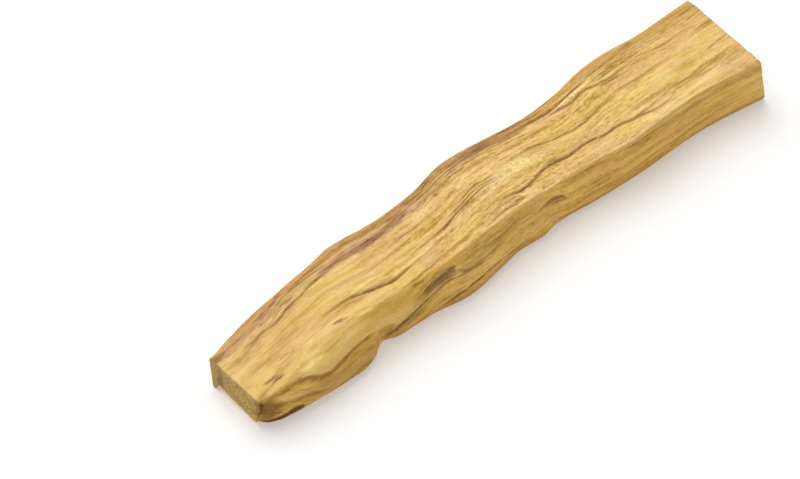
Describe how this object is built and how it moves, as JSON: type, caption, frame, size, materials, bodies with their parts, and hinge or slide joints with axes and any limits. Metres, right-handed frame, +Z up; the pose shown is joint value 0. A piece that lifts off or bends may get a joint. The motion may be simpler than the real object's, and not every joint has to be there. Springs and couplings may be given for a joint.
{
  "type": "palo santo stick",
  "caption": "Split stick of pale, wavy-grained aromatic wood with sawn ends, a rounded back edge and a flat underside it lies on.",
  "frame": {"origin": "middle of the bounding box, on the plane the stick lies on", "axes": "+X along the stick from its narrower sawn end to its wider one, +Y towards the rounded back edge, +Z up through its thickness"},
  "size_m": [0.1014, 0.0194, 0.0102],
  "materials": {
    "wood": "raw split wood, matt"
  },
  "bodies": {
    "root": {"stick": "wood"}
  },
  "joints": []
}
